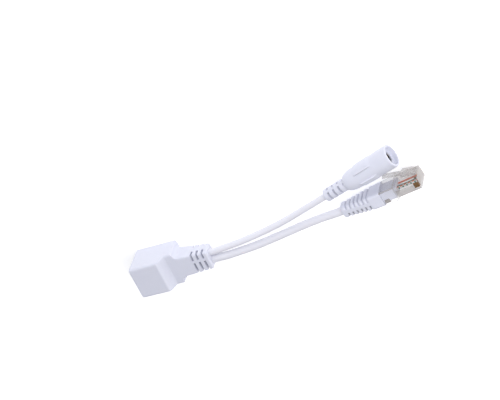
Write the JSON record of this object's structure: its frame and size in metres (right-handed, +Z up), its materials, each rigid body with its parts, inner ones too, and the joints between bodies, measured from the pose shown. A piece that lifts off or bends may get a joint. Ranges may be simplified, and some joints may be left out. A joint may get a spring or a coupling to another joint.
{
  "type": "passive power over ethernet injector cable",
  "caption": "White moulded network socket housing with two short tails, one ending in a clear modular plug and one in a round power jack, that adds power to a network cable.",
  "frame": {"origin": "centre of the housing's length and width, on the surface that the object lies on", "axes": "+X along the housing from the socket mouth to the tails, +Y to the side where the power jack lies, +Z up"},
  "size_m": [0.1606, 0.0424, 0.019],
  "materials": {
    "white_pvc": "satin",
    "white_jacket": "satin",
    "white_plastic": "satin",
    "ivory_plastic": "satin",
    "dark_plastic": "matte",
    "clear_plastic": "clear, polished",
    "gold_contact": "polished",
    "brass_pin": "polished",
    "lead_white_orange": "satin",
    "lead_white_green": "satin",
    "lead_green": "satin",
    "lead_orange": "satin",
    "lead_red": "satin",
    "lead_black": "satin"
  },
  "bodies": {
    "lead_set": {"housing": "white_pvc", "socket_insert": "ivory_plastic", "contact_carrier": "dark_plastic", "solder_tails": "gold_contact", "data_lead_1": "lead_white_orange", "data_lead_2": "lead_white_green", "data_lead_3": "lead_green", "data_lead_6": "lead_orange", "power_lead_pos": "lead_red", "power_lead_neg": "lead_black", "network_cable": "white_jacket", "power_cable": "white_jacket", "boot": "white_pvc", "plug_body": "clear_plastic", "plug_blades": "gold_contact", "plug_wire_1": "lead_white_orange", "plug_wire_2": "lead_white_green", "plug_wire_3": "lead_green", "plug_wire_6": "lead_orange", "jack_shell": "white_pvc", "jack_core": "white_plastic", "center_pin": "brass_pin", "side_terminal": "gold_contact", "jack_lead_pos": "lead_red", "jack_lead_neg": "lead_black"},
    "contact_springs": {"contact_springs": "gold_contact"},
    "latch": {"plug_latch": "clear_plastic"},
    "side_contact": {"side_contact": "gold_contact"}
  },
  "joints": [
    {"name": "contact_press", "type": "hinge", "parent": "lead_set", "child": "contact_springs", "pos_m": [-0.0182, 0, 0.0046], "axis": [0, 1, 0], "range_deg": [0, 9], "stiffness_Nm_per_rad": 0.36, "springref_deg": -1.72},
    {"name": "latch_press", "type": "hinge", "parent": "lead_set", "child": "latch", "pos_m": [0.13752, 0.0158, 0.00584], "axis": [0, 0, 1], "range_deg": [0, 11], "stiffness_Nm_per_rad": 0.3, "springref_deg": -1.15},
    {"name": "side_contact_press", "type": "hinge", "parent": "lead_set", "child": "side_contact", "pos_m": [0.11821, 0.02374, 0.0027], "axis": [-0.3007, 0.9537, 0], "range_deg": [0, 5], "stiffness_Nm_per_rad": 0.3, "springref_deg": -1.15}
  ]
}
